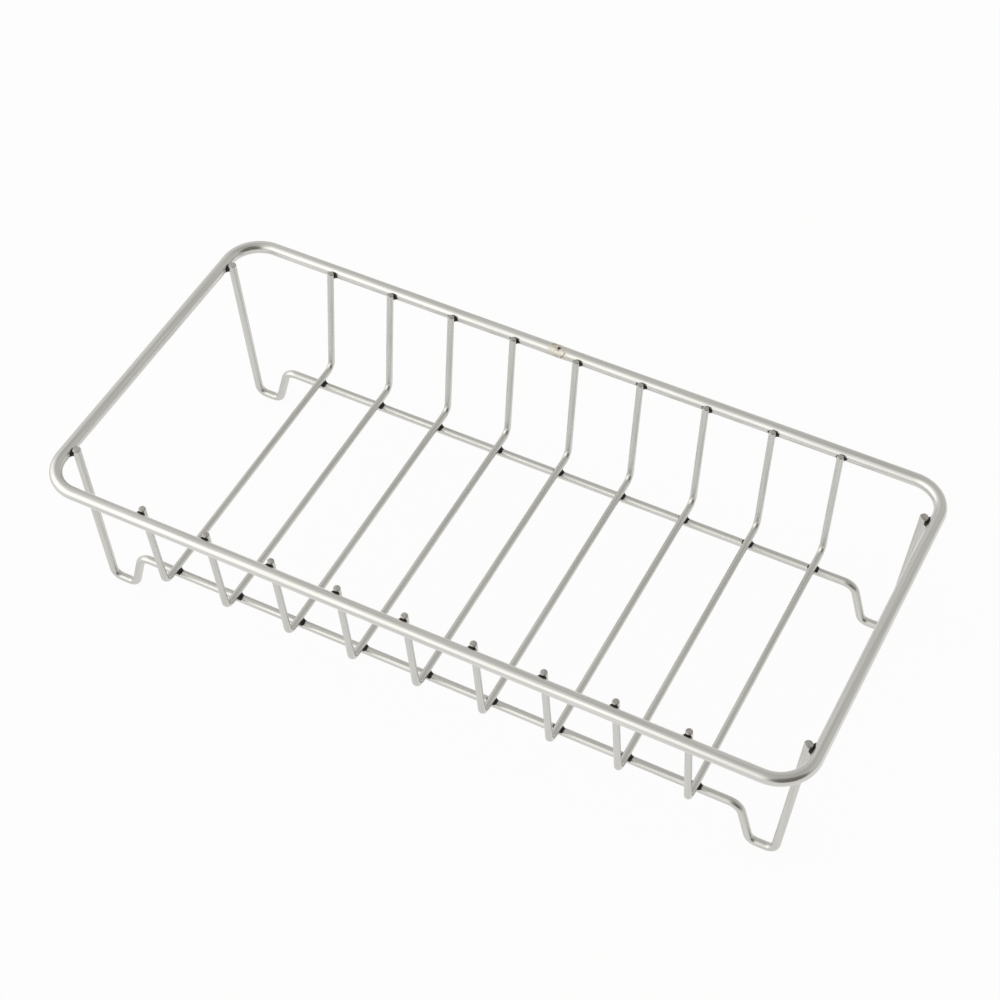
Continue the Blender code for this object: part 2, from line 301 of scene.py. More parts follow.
class Wire:
    """A round wire swept along a path in one plane, with what its finish needs to know."""

    def __init__(self, path, plane, origin, radius, corners, rounding=0):
        right, up = plane
        self.radius = radius
        self.corners = corners
        self.points = np.array([origin + right * point.x + up * point.y for point, way in path])
        self.asides = np.array([right * left_of(way).x + up * left_of(way).y for point, way in path])
        self.normal = np.array(right.cross(up))
        steps = np.linalg.norm(np.diff(self.points, axis=0), axis=1)
        self.along = np.concatenate([[0], np.cumsum(steps)])
        self.angles = np.linspace(0, FULL_TURN, corners, endpoint=False)
        self.radii = np.full((len(path), corners), radius)
        self.rounding = rounding
        if rounding:
            to_end = np.minimum(self.along, self.along[-1] - self.along)
            past = np.clip(1 - to_end / rounding, 0, 1)
            self.radii -= rounding * (1 - np.sqrt(1 - past**2))[:, None]

    def flatten_bends(self, most, tightest):
        """Wires go a little oval in a bend, most at the tightest: thinner in its plane, wider out of it."""
        ways = np.gradient(self.points, self.along, axis=0)
        ways /= np.linalg.norm(ways, axis=1)[:, None]
        curvature = np.linalg.norm(np.gradient(ways, self.along, axis=0), axis=1)
        bent = most * np.clip(curvature * tightest, 0, 1)
        self.radii *= 1 - bent[:, None] * np.cos(2 * self.angles)[None] / 2 - bent[:, None] / 4

    def places(self):
        """The vertices, ring by ring, as rings by corners by three."""
        spokes = (
            self.asides[:, None] * np.cos(self.angles)[None, :, None]
            + self.normal[None, None] * np.sin(self.angles)[None, :, None]
        )
        return self.points[:, None] + spokes * self.radii[..., None]

    def faces(self):
        """The sides' quads, then a fan on each end."""
        rings = len(self.points)
        ring, corner = np.meshgrid(np.arange(rings - 1), np.arange(self.corners), indexing="ij")
        beside = (corner + 1) % self.corners
        here, ahead = ring * self.corners, (ring + 1) * self.corners
        quads = np.stack([here + corner, here + beside, ahead + beside, ahead + corner], axis=-1)
        quads = quads.reshape(-1, 4).tolist()
        last = (rings - 1) * self.corners
        centre = rings * self.corners
        fans = []
        for corner in range(self.corners):
            beside = (corner + 1) % self.corners
            fans.append((centre, beside, corner))
            fans.append((centre + 1, last + corner, last + beside))
        return quads, fans

    def mesh(self, name, joints=()):
        """The mesh, with each vertex's place on the wire and how hot the welds there made it."""
        vertices = self.places().reshape(-1, 3)
        ends = self.points[[0, -1]]
        quads, fans = self.faces()
        data = smooth_mesh(name, np.vstack([vertices, ends]).tolist(), quads + fans)
        # Coordinates that stay with the metal: two across the wire and one along it
        across = self.radius * np.cos(self.angles)
        normal = self.radius * np.sin(self.angles)
        on_wire = np.zeros((len(self.points), self.corners, 3))
        on_wire[..., 0] = across[None]
        on_wire[..., 1] = normal[None]
        on_wire[..., 2] = self.along[:, None]
        on_ends = [(0, 0, 0), (0, 0, self.along[-1])]
        add_vectors(data, "on_wire", np.vstack([on_wire.reshape(-1, 3), on_ends]))
        add_values(data, "weld_heat", heat_at(np.vstack([vertices, ends]), joints))
        if self.rounding:
            # The cut face's finish runs over its rounded edge, nearly to the drawn surface
            to_end = np.minimum(self.along, self.along[-1] - self.along)
            rounded = to_end < self.rounding * CUT_FACE_REACH
            quads_cut = np.repeat(rounded[:-1] & rounded[1:], self.corners)
            cut = np.concatenate([quads_cut, np.ones(len(fans), bool)])
            data.polygons.foreach_set("material_index", cut.astype(np.int32))
        return data


def tube_faces(corners, rings):
    """The quads of a tube whose vertices come corner by corner, each from ring 0 to the last."""
    for corner in range(corners):
        beside = (corner + 1) % corners
        for ring in range(rings):
            here = corner * (rings + 1) + ring
            there = beside * (rings + 1) + ring
            yield here, there, there + 1, here + 1


def smooth_mesh(name, vertices, faces):
    data = bpy.data.meshes.new(name)
    data.from_pydata([tuple(vertex) for vertex in vertices], [], faces)
    data.shade_smooth()
    return data


def add_vectors(data, name, vectors):
    attribute = data.attributes.new(name, "FLOAT_VECTOR", "POINT")
    attribute.data.foreach_set("vector", np.asarray(vectors, np.float32).ravel())


def add_values(data, name, values):
    attribute = data.attributes.new(name, "FLOAT", "POINT")
    attribute.data.foreach_set("value", np.asarray(values, np.float32))


# Heat tint: full within the first distance from the middle of a joint, gone at the second
HEAT_FULL = 0.0007
HEAT_NONE = 0.0019


def heat_at(vertices, joints):
    """From 0 to 1, how near each vertex lies to a weld."""
    heat = np.zeros(len(vertices))
    for joint in joints:
        distance = np.linalg.norm(vertices - np.array(joint), axis=1)
        heat = np.maximum(heat, (HEAT_NONE - distance) / (HEAT_NONE - HEAT_FULL))
    return np.clip(heat, 0, 1)


def joint_places(layout, text):
    """The middles of the joints whose names hold the text."""
    return [frame_there.translation for name, frame_there, _, _ in layout.joints() if text in name]


def check_fit(piece, node):
    """Stops the script if a wire doesn't lie where its CAD node does."""
    low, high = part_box(node)
    corners = np.array([vertex.co for vertex in piece.data.vertices])
    apart = max(np.abs(corners.min(axis=0) - low).max(), np.abs(corners.max(axis=0) - high).max())
    if apart > FIT_TOLERANCE:
        raise RuntimeError(f"{piece.name} lies {apart * MM_PER_METRE:.2f} mm off its node {node}")


def add_piece(name, data, materials, node):
    """Puts one piece on the basket in place of its CAD node."""
    piece = bpy.data.objects.new(name, data)
    bpy.context.scene.collection.objects.link(piece)
    for material in materials:
        data.materials.append(material)
    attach(piece, "root")
    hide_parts(node)
    return piece


def add_node(tree, kind, settings=None, stops=(), **inputs):
    """Adds a shader node with its settings, and links or sets its inputs by name or number.

    A colour ramp takes a stop for each place and colour.
    """
    made = tree.nodes.new(kind)
    for name, value in (settings or {}).items():
        setattr(made, name, value)
    for number, (place, tone) in enumerate(stops):
        elements = made.color_ramp.elements
        element = elements[number] if number < len(elements) else elements.new(place)
        element.position = place
        element.color = (*tone, 1)
    for name, value in inputs.items():
        socket = made.inputs[int(name[1:])] if name[1:].isdigit() else made.inputs[name.replace("_", " ")]
        if isinstance(value, bpy.types.NodeSocket):
            tree.links.new(value, socket)
        else:
            socket.default_value = value
    return made.outputs[0]


def new_material(name):
    """A material with its shader and node tree."""
    material = bpy.data.materials.new(name)
    material.use_nodes = True
    tree = material.node_tree
    return material, tree, tree.nodes["Principled BSDF"]


def on_wire_noise(tree, width, length, detail=2):
    """Noise that stays with the wire, in marks of this width across it and this length along it."""
    place = add_node(tree, "ShaderNodeAttribute", {"attribute_name": "on_wire"}).node.outputs["Vector"]
    stretched = add_node(tree, "ShaderNodeMapping", Vector=place, Scale=(1, 1, width / length))
    return add_node(tree, "ShaderNodeTexNoise", Vector=stretched, Scale=1 / width, Detail=detail)


# A die line as drawn, and the depth of the dents from straightening, for the rim and the other wire
RIM_DIE_LINE = millimetres(0.7)
RIM_DENT = millimetres(0.08)
WIRE_DIE_LINE = millimetres(0.5)
WIRE_DENT = millimetres(0.05)
# A die line's length as a multiple of its width, and its depth
DIE_LINE_STRETCH = 60
DIE_LINE_DEPTH = millimetres(0.01)
# How hot the metal got, from 0 to 1, where it shows bare steel, straw, bronze and black scale
BARE, STRAW, BRONZE, BLACK = 0.02, 0.12, 0.34, 0.6
# How far handling marks shift the edge of a tint, and how far they vary the roughness
TINT_SHIFT = 0.5
ROUGHNESS_SPREAD = 0.12
# How much rougher the metal is at its hottest
SCALE_ROUGHNESS = 0.4


def wire_look(tree, finish, tones, roughness, die_line, dent):
    """The colour, roughness and normal of bright-drawn stainless steel 304 wire.

    Drawing through a die leaves fine lines along the wire, seen as faint streaks in the reflections.
    Straightening leaves long shallow waves. Welding tints the metal straw, then bronze, then black.
    """
    bright, worn = tones
    # Real die lines are about 0.1 mm wide. These are drawn coarser, so that they show
    lines = on_wire_noise(tree, die_line, die_line * DIE_LINE_STRETCH)
    # Waves from the straightening rolls, about 25 mm apart
    waves = on_wire_noise(tree, millimetres(5), millimetres(25), 1)
    # Patches of handling marks, about 6 mm long
    marks = on_wire_noise(tree, millimetres(1.5), millimetres(6), 4)
    streaks = [(0.35, worn), (0.65, bright)]
    clean = add_node(tree, "ShaderNodeValToRGB", stops=streaks, Fac=lines)
    heat = add_node(tree, "ShaderNodeAttribute", {"attribute_name": "weld_heat"}).node.outputs["Fac"]
    scaled, clamped = {"operation": "MULTIPLY_ADD"}, {"operation": "MULTIPLY", "use_clamp": True}
    ragged = add_node(tree, "ShaderNodeMath", scaled, _0=marks, _1=TINT_SHIFT, _2=-TINT_SHIFT / 2)
    burnt = add_node(tree, "ShaderNodeMath", {"operation": "ADD"}, _0=heat, _1=ragged)
    burnt = add_node(tree, "ShaderNodeMath", clamped, _0=burnt, _1=heat)
    tints = [(0, bright), (STRAW, finish.straw), (BRONZE, finish.bronze), (BLACK, finish.scale)]
    tint = add_node(tree, "ShaderNodeValToRGB", stops=tints, Fac=burnt)
    tinted = add_node(tree, "ShaderNodeMapRange", Value=burnt, _1=BARE, _2=STRAW)
    as_colour = {"data_type": "RGBA"}
    tone = add_node(tree, "ShaderNodeMix", as_colour, _0=tinted, _6=clean, _7=tint).node.outputs[2]
    smoothest = roughness - ROUGHNESS_SPREAD / 2
    varied = add_node(tree, "ShaderNodeMath", scaled, _0=marks, _1=ROUGHNESS_SPREAD, _2=smoothest)
    rough = add_node(tree, "ShaderNodeMath", scaled, _0=burnt, _1=SCALE_ROUGHNESS, _2=varied)
    wavy = add_node(tree, "ShaderNodeBump", Strength=1.0, Distance=dent, Height=waves)
    fine = {"Strength": 0.35, "Distance": DIE_LINE_DEPTH}
    lined = add_node(tree, "ShaderNodeBump", Height=lines, Normal=wavy, **fine)
    return tone, rough, lined


def finish_steel(tree, shader, tone, rough, normal):
    """Joins what makes a steel's look to its shader, as bare metal."""
    tree.links.new(tone, shader.inputs["Base Color"])
    tree.links.new(rough, shader.inputs["Roughness"])
    tree.links.new(normal, shader.inputs["Normal"])
    shader.inputs["Metallic"].default_value = 1


def wire_steel(name, finish):
    """Drawn stainless steel wire as it left the die, satin, for the ribs and the runners."""
    material, tree, shader = new_material(name)
    tones = finish.wire, finish.wire_worn
    look = wire_look(tree, finish, tones, finish.wire_roughness, WIRE_DIE_LINE, WIRE_DENT)
    finish_steel(tree, shader, *look)
    return material


def rim_steel(finish):
    """The rim's polished stainless steel, made once for the rim and its seam.

    The rim's butt weld was ground by hand with a fine belt. The bright metal there is duller than the
    rest, scratched round the wire, and in patches it keeps the straw and brown tint of the weld's heat.
    """
    name = "polished_stainless_rim"
    if name in bpy.data.materials:
        return bpy.data.materials[name]
    material, tree, shader = new_material(name)
    tones = finish.rim, finish.rim_worn
    tone, rough, normal = wire_look(tree, finish, tones, finish.rim_roughness, RIM_DIE_LINE, RIM_DENT)
    ground = add_node(tree, "ShaderNodeAttribute", {"attribute_name": "ground"}).node.outputs["Fac"]
    patches = on_wire_noise(tree, millimetres(1.6), millimetres(2.4), 3)
    # A worn edge to the ground area, a few millimetres wide
    edge = add_node(tree, "ShaderNodeMath", {"operation": "ADD"}, _0=ground, _1=patches)
    ground = add_node(tree, "ShaderNodeMapRange", Value=edge, _1=0.75, _2=1.1)
    tones = [(0.36, finish.ground_tinted), (0.5, finish.ground)]
    bare = add_node(tree, "ShaderNodeValToRGB", stops=tones, Fac=patches)
    # Scale that the grinding left stays dark on the bare metal
    heat = add_node(tree, "ShaderNodeAttribute", {"attribute_name": "weld_heat"}).node.outputs["Fac"]
    clean = add_node(tree, "ShaderNodeMapRange", Value=heat, _1=0.25, _2=0.5, _3=1.0, _4=0.0)
    ground = add_node(tree, "ShaderNodeMath", {"operation": "MULTIPLY"}, _0=ground, _1=clean)
    as_colour, as_vector = {"data_type": "RGBA"}, {"data_type": "VECTOR"}
    tone = add_node(tree, "ShaderNodeMix", as_colour, _0=ground, _6=tone, _7=bare).node.outputs[2]
    rough = add_node(tree, "ShaderNodeMix", _0=ground, _2=rough, _3=finish.end_roughness)
    # A 240 grit belt's scratches are 0.05 mm apart. These are drawn at 0.35 mm, so that they show
    scratches = on_wire_noise(tree, millimetres(2.5), millimetres(0.35), 3)
    scratched = add_node(tree, "ShaderNodeBump", Strength=0.4, Distance=millimetres(0.06), Height=scratches)
    normal = add_node(tree, "ShaderNodeMix", as_vector, _0=ground, _4=normal, _5=scratched).node.outputs[1]
    finish_steel(tree, shader, tone, rough, normal)
    return material


def sheared_end(name, finish):
    """The cut face of a sheared and tumbled wire: duller than the drawn surface, a little pitted."""
    material, tree, shader = new_material(name)
    place = add_node(tree, "ShaderNodeTexCoord").node.outputs["Object"]
    pits = add_node(tree, "ShaderNodeTexNoise", Vector=place, Scale=1 / millimetres(0.5), Detail=3)
    tones = [(0.3, finish.pitted), (0.62, finish.wire_worn)]
    tone = add_node(tree, "ShaderNodeValToRGB", stops=tones, Fac=pits)
    roughest, smoothest = finish.end_roughness, finish.wire_roughness
    rough = add_node(tree, "ShaderNodeMapRange", Value=pits, _3=roughest, _4=smoothest)
    bumpy = add_node(tree, "ShaderNodeBump", Strength=0.5, Distance=millimetres(0.05), Height=pits)
    finish_steel(tree, shader, tone, rough, bumpy)
    return material


def weld_scale(name, finish):
    """The oxide on a resistance weld that wasn't pickled: black to brown, rough and matt. Its black is also
    painted shade, standing in for the shaded crevice between the two wires.
    """
    material, tree, shader = new_material(name)
    place = add_node(tree, "ShaderNodeTexCoord").node.outputs["Object"]
    lumps = add_node(tree, "ShaderNodeTexNoise", Vector=place, Scale=1 / millimetres(0.7), Detail=4)
    tones = [(0.45, finish.scale), (0.75, finish.scale_light)]
    tone = add_node(tree, "ShaderNodeValToRGB", stops=tones, Fac=lumps)
    tree.links.new(tone, shader.inputs["Base Color"])
    shader.inputs["Metallic"].default_value = 0.3
    shader.inputs["Roughness"].default_value = 0.6
    bumpy = add_node(tree, "ShaderNodeBump", Strength=0.8, Distance=millimetres(0.15), Height=lumps)
    tree.links.new(bumpy, shader.inputs["Normal"])
    return material


# A collar's outline: 2 would be an ellipse, and more is squarer
COLLAR_SQUARENESS = 3.2
# How much collars differ in size, and how far one's edge wanders, as shares of its reach
COLLAR_VARIATION = 0.2
# How often a collar's edge wanders round the joint, and how far apart two collars' noise is taken
COLLAR_WAVES = 1.7
SEED_STEP = 3.7
# How far out across its wire a collar's edge may lie, as a share of the wire's radius
LOWER_LIMIT = 0.95
UPPER_LIMIT = 0.87
# How much further up a collar reaches on the upper wire than on the lower one, by the cut end
UPPER_TOP = 1.7
# The waist of a collar's hollow side, along the lower and the upper wire, as shares of its slimmer
# edge, and how far it is filled up again toward the middle of both edges. The fuller it is, the more of
# the collar's black shows in the crevice between the wires, as painted shade there
WAIST_ALONG_LOWER = 0.9
WAIST_ALONG_UPPER = 0.6
WAIST_FILL = 0.5
# How deep a collar's edges and its two closed ends are sunk into the wires
COLLAR_SUNK = millimetres(0.04)
COLLAR_END_SUNK = COLLAR_SUNK * 4
# The height and number of the lumps on a collar
LUMP_HEIGHT = millimetres(0.12)
LUMPS_PER_METRE = 1400


def collar_mesh(name, shape, top, lower_radius, upper_radius, seed):
    """The collar of metal squeezed out of a resistance weld, between two wires that cross. It fills the
    crevice between them, and its black there is partly painted shade.

    In the joint's frame, one edge lies on the lower wire and one on the upper wire. A hollow curve
    joins them all round, and both are closed inside their wires. The top is how far the lower edge
    reaches toward the upper wire's cut end.
    """
    half_gap = shape.wire_gap / 2
    spread = 1 + COLLAR_VARIATION * noise.noise(Vector((seed, 0.5, 0.5)))
    lower_reach = Vector((upper_radius + shape.collar_reach * spread, shape.collar_height * spread))
    furthest = lower_radius * LOWER_LIMIT
    upper_reach = Vector((upper_radius * UPPER_LIMIT, shape.collar_grip))
    upper_top = min(shape.collar_grip, top * UPPER_TOP)
    vertices = []
    for corner in range(COLLAR_CORNERS):
        angle = FULL_TURN * corner / COLLAR_CORNERS
        way = Vector((math.cos(angle), math.sin(angle)))
        way /= (abs(way.x) ** COLLAR_SQUARENESS + abs(way.y) ** COLLAR_SQUARENESS) ** (1 / COLLAR_SQUARENESS)
        edge_place = Vector((way.x * COLLAR_WAVES, way.y * COLLAR_WAVES, seed))
        ragged = 1 + COLLAR_VARIATION * noise.noise(edge_place)
        low = Vector((way.x * lower_reach.x, way.y * (top if way.y > 0 else lower_reach.y))) * ragged
        low.y = min(max(low.y, -furthest), furthest)
        high = Vector((way.x * upper_reach.x, way.y * (upper_top if way.y > 0 else upper_reach.y)))
        # The hollow side is drawn in half way to a waist, which is slimmer than both edges
        along_lower = min(abs(low.x), abs(high.x)) * WAIST_ALONG_LOWER
        along_upper = min(abs(low.y), abs(high.y)) * WAIST_ALONG_UPPER
        waist = Vector((math.copysign(along_lower, way.x), math.copysign(along_upper, way.y)))
        waist = waist.lerp((low + high) / 2, WAIST_FILL)
        under = lower_radius - math.sqrt(lower_radius**2 - low.y**2)
        over = upper_radius - math.sqrt(upper_radius**2 - high.x**2)
        foot = Vector((low.x, low.y, -half_gap - under - COLLAR_SUNK))
        head = Vector((high.x, high.y, half_gap + over + COLLAR_SUNK))
        middle = Vector((waist.x, waist.y, (foot.z + head.z) / 2))
        for ring in range(COLLAR_RINGS + 1):
            t = ring / COLLAR_RINGS
            point = foot * (1 - t) ** 2 + middle * 2 * t * (1 - t) + head * t**2
            lump = noise.noise(point * LUMPS_PER_METRE + Vector((seed, seed, 0)))
            vertices.append(point + Vector((way.x, way.y, 0)) * lump * LUMP_HEIGHT * 4 * t * (1 - t))
    rings = COLLAR_RINGS + 1
    faces = list(tube_faces(COLLAR_CORNERS, COLLAR_RINGS))
    low_centre = len(vertices)
    vertices.append(Vector((0, 0, -half_gap - COLLAR_END_SUNK)))
    vertices.append(Vector((0, 0, half_gap + COLLAR_END_SUNK)))
    for corner in range(COLLAR_CORNERS):
        beside = (corner + 1) % COLLAR_CORNERS
        faces.append((low_centre, beside * rings, corner * rings))
        faces.append((low_centre + 1, corner * rings + COLLAR_RINGS, beside * rings + COLLAR_RINGS))
    return smooth_mesh(name, vertices, faces)


class BASKET_OT_rim(bpy.types.Operator):
    """Make the rim: one thick wire bent to a rounded rectangle"""

    bl_idname = "basket.rim"
    bl_label = "Rim"

    def execute(self, context):
        shape, finish = context.scene.basket_shape, context.scene.basket_finish
        layout = Layout(shape)
        half_seam = shape.seam_length / 2
        corners = [
            Vector((layout.seam_x + half_seam, layout.rim_half_width)),
            Vector((layout.rim_half_length, layout.rim_half_width)),
            Vector((layout.rim_half_length, -layout.rim_half_width)),
            Vector((-layout.rim_half_length, -layout.rim_half_width)),
            Vector((-layout.rim_half_length, layout.rim_half_width)),
            Vector((layout.seam_x - half_seam, layout.rim_half_width)),
        ]
        path = with_close_ends(bent_path(corners, [shape.rim_bend] * 4), shape.end_rounding)
        wire = Wire(path, (ALONG, ACROSS), UP * layout.rim_height, layout.rim_radius, RIM_CORNERS)
        data = wire.mesh("rim", joint_places(layout, "rim") + joint_places(layout, "riser"))
        to_end = np.minimum(wire.along, wire.along[-1] - wire.along)
        ground = np.clip(1 - to_end / shape.ground_length, 0, 1)
        add_values(data, "ground", np.append(np.repeat(ground, RIM_CORNERS), [1, 1]))
        piece = add_piece("rim", data, [rim_steel(finish)], "rim_wire")
        check_fit(piece, "rim_wire")
        return {"FINISHED"}


# The seam's bead was smeared most at this angle round the wire, and fades out by these
SMEAR_ANGLE = math.radians(128)
SMEAR_ABOVE = math.radians(30)
SMEAR_BELOW = math.radians(75)
# How far the bead's edges wander and how often round the wire, and how deep they are sunk into it
SEAM_WANDER = millimetres(0.3)
SEAM_WAVES = 2.5
SEAM_SUNK = millimetres(0.02)
# How flat the ground bead is: 2 would be round
SEAM_FLATNESS = 6
# The noise that breaks up the scale: how fine it is, and its steps in a metre along the wire, where
# one step round the wire is the wire's radius
BREAKS_FINENESS = 4
BREAKS_PER_METRE = 300
# Scale in the crease under the smeared edge: how wide it is black, and how wide it fades
CREASE_BLACK = millimetres(0.2)
CREASE_FADE = millimetres(0.5)
# How much scale the crease holds, and how much of it the breaks take or add
CREASE_HEAT = 0.85
CREASE_BREAKS = 0.7
# Below the smear's middle the crease runs out between these shares of the smear, and above it as
# this power of the smear
CREASE_NONE = 0.25
CREASE_WHOLE = 0.5
CREASE_POWER = 6
# A pit in the bead that still holds scale: its place round and along the wire, how wide it is black,
# how wide it fades, how far its edge wanders and how black it is
PIT_ANGLE = math.radians(106)
PIT_X = millimetres(0.3)
PIT_BLACK = millimetres(0.5)
PIT_FADE = millimetres(0.9)
PIT_WANDER = millimetres(0.5)
PIT_HEAT = 0.72


def faded(distance, full, fade):
    """1 up to the full distance, and then falling to 0 over the fade."""
    return min(1, max(0, 1 - (distance - full) / fade))


class BASKET_OT_rim_seam(bpy.types.Operator):
    """Make the bead of the butt weld that closes the rim, ground nearly flush"""

    bl_idname = "basket.rim_seam"
    bl_label = "Rim seam"

    def execute(self, context):
        shape, finish = context.scene.basket_shape, context.scene.basket_finish
        layout = Layout(shape)
        radius = layout.rim_radius
        centre = Vector((layout.seam_x, layout.rim_half_width, layout.rim_height))
        vertices, places, heats = [], [], []
        for corner in range(RIM_CORNERS):
            angle = FULL_TURN * corner / RIM_CORNERS
            # Angles run from outside over the top to the inside, where the bead was smeared
            past = angle - SMEAR_ANGLE
            fade = SMEAR_BELOW if past > 0 else SMEAR_ABOVE
            smeared = math.exp(-((past / fade) ** 2))
            round_wire = Vector((math.cos(angle), math.sin(angle), 0))
            wander = SEAM_WANDER * (1 + noise.noise(round_wire * SEAM_WAVES))
            low = -shape.seam_length / 2 - wander
            high = shape.seam_length / 2 + wander + shape.seam_tongue * smeared
            # Scale is left in the crease along the smeared edge, and in one pit near the top
            crease = smeared**CREASE_POWER
            if past > 0:
                crease = min(1, max(0, (smeared - CREASE_NONE) / (CREASE_WHOLE - CREASE_NONE)))
            for ring in range(SEAM_RINGS + 1):
                # Rings lie closer together near both edges
                step = ring / SEAM_RINGS
                share_along = step * step * (3 - 2 * step)
                x = low + (high - low) * share_along
                edge = abs(2 * share_along - 1)
                out = radius - SEAM_SUNK + (shape.seam_proud + SEAM_SUNK) * (1 - edge**SEAM_FLATNESS)
                spoke = ACROSS * math.cos(angle) + UP * math.sin(angle)
                vertices.append(centre + ALONG * x + spoke * out)
                places.append((radius * math.cos(angle), radius * math.sin(angle), x))
                here = Vector((round_wire.x, round_wire.y, x * BREAKS_PER_METRE))
                broken = noise.noise(here * BREAKS_FINENESS)
                left = min(1, CREASE_HEAT + CREASE_BREAKS * broken)
                in_crease = faded(high - x, CREASE_BLACK, CREASE_FADE) * crease * left
                from_pit = math.hypot(radius * (angle - PIT_ANGLE), x - PIT_X) - PIT_WANDER * broken
                heats.append(max(in_crease, PIT_HEAT * faded(from_pit, PIT_BLACK, PIT_FADE), 0))
        rings = SEAM_RINGS + 1
        faces = [(a, d, c, b) for a, b, c, d in tube_faces(RIM_CORNERS, SEAM_RINGS)]
        faces.append([corner * rings for corner in range(RIM_CORNERS)])
        faces.append([corner * rings + SEAM_RINGS for corner in reversed(range(RIM_CORNERS))])
        data = smooth_mesh("rim_seam", vertices, faces)
        add_vectors(data, "on_wire", places)
        add_values(data, "weld_heat", heats)
        add_values(data, "ground", [1] * len(vertices))
        add_piece("rim_seam", data, [rim_steel(finish)], "rim_butt_weld")
        return {"FINISHED"}


class BASKET_OT_ribs(bpy.types.Operator):
    """Make the ribs: thin wires bent to a U, which are the floor and the long sides"""

    bl_idname = "basket.ribs"
    bl_label = "Ribs"

    def execute(self, context):
        shape, finish = context.scene.basket_shape, context.scene.basket_finish
        layout = Layout(shape)
        corner = Vector((layout.rib_corner_y, layout.rib_height))
        end = layout.wire_end(corner.x, corner.y, layout.rib_lean)
        corners = [Vector((-end.x, end.y)), Vector((-corner.x, corner.y)), corner, end]
        path = with_close_ends(bent_path(corners, [shape.rib_bend] * 2), shape.end_rounding)
        steel = wire_steel("drawn_stainless_rib", finish)
        end_steel = sheared_end("sheared_rib_end", finish)
        for number, x in layout.rib_xs():
            wire = Wire(path, (ACROSS, UP), ALONG * x, layout.rib_radius, WIRE_CORNERS, shape.end_rounding)
            wire.flatten_bends(shape.bend_flattening, shape.foot_bend)
            joints = joint_places(layout, f"rib_{number}_")
            name, node = f"rib_wire_{number}", f"rib_{number}"
            piece = add_piece(name, wire.mesh(name, joints), [steel, end_steel], node)
            check_fit(piece, node)
        return {"FINISHED"}


class BASKET_OT_runners(bpy.types.Operator):
    """Make the runners: wires under the ribs that dip to the feet and rise to the rim"""

    bl_idname = "basket.runners"
    bl_label = "Runners"

    def execute(self, context):
        shape, finish = context.scene.basket_shape, context.scene.basket_finish
        layout = Layout(shape)
        half = [
            layout.wire_end(layout.foot_outer_x, layout.foot_height, layout.riser_lean),
            Vector((layout.foot_outer_x, layout.foot_height)),
            Vector((layout.foot_inner_x, layout.foot_height)),
            Vector((layout.foot_inner_x - shape.foot_run, layout.runner_height)),
        ]
        corners = [Vector((-corner.x, corner.y)) for corner in half] + half[::-1]
        radii = [shape.foot_bend, shape.foot_bend, shape.runner_bend]
        path = with_close_ends(bent_path(corners, radii + radii[::-1]), shape.end_rounding)
        steel = wire_steel("drawn_stainless_runner", finish)
        end_steel = sheared_end("sheared_runner_end", finish)
        for side, way in SIDES:
            origin = ACROSS * way * layout.runner_y
            wire = Wire(path, (ALONG, UP), origin, layout.runner_radius, WIRE_CORNERS, shape.end_rounding)
            wire.flatten_bends(shape.bend_flattening, shape.foot_bend)
            joints = joint_places(layout, f"runner_{side}") + joint_places(layout, f"riser_{side}")
            name, node = f"runner_wire_{side}", f"runner_{side}"
            piece = add_piece(name, wire.mesh(name, joints), [steel, end_steel], node)
            check_fit(piece, node)
        return {"FINISHED"}


class BASKET_OT_weld_collars(bpy.types.Operator):
    """Make the collar of each resistance weld, black with scale and with painted shade of the crevice between
    the wires
    """

    bl_idname = "basket.weld_collars"
    bl_label = "Weld collars"

    def execute(self, context):
        shape, finish = context.scene.basket_shape, context.scene.basket_finish
        layout = Layout(shape)
        black = weld_scale("weld_scale", finish)
        for seed, (node, place, lower_radius, upper_radius) in enumerate(layout.joints()):
            name = node.replace("weld", "collar")
            top = shape.collar_height if "runner" in node else shape.collar_top
            data = collar_mesh(name, shape, top, lower_radius, upper_radius, seed * SEED_STEP)
            data.transform(place)
            add_piece(name, data, [black], node)
        return {"FINISHED"}


# The camera looks at this place, level with half the basket's height
CAMERA_TARGET = Vector((-0.0093, 0.0227, 0.040))
CAMERA_AZIMUTH = math.radians(27.57)
CAMERA_ELEVATION = math.radians(49.52)
CAMERA_ROLL = math.radians(-0.65)
SENSOR_WIDTH_MM = 36
FLOOR_HALF_SIZE = 30
# The soft light: a wide panel in front and to the left of the basket
LAMP_DISTANCE = 1.6
LAMP_AZIMUTH = math.radians(-52)
LAMP_ELEVATION = math.radians(26)
LAMP_WIDTH = 4.2
LAMP_HEIGHT = 1.5
# The middle of the lit side of the room, and how quickly the light falls off round it
WINDOW_AZIMUTH = math.radians(-58)
WINDOW_ELEVATION = math.radians(30)
WINDOW_FALLOFF = 2.5
# Sines of the elevations between which the walls turn into the ceiling
WALL_TOP = 0.7
CEILING_START = 1.0
# The unlit side of the room: where it is, and how wide it reaches
DIM_AZIMUTH = math.radians(51)
DIM_ELEVATION = math.radians(27)
DIM_REACH = (math.radians(42), math.radians(31))


def toward(azimuth, elevation):
    """The direction from the basket to a place round it. Azimuth 0 is in front, and 90 to the right."""
    level = math.cos(elevation)
    return Vector((math.sin(azimuth) * level, -math.cos(azimuth) * level, math.sin(elevation)))


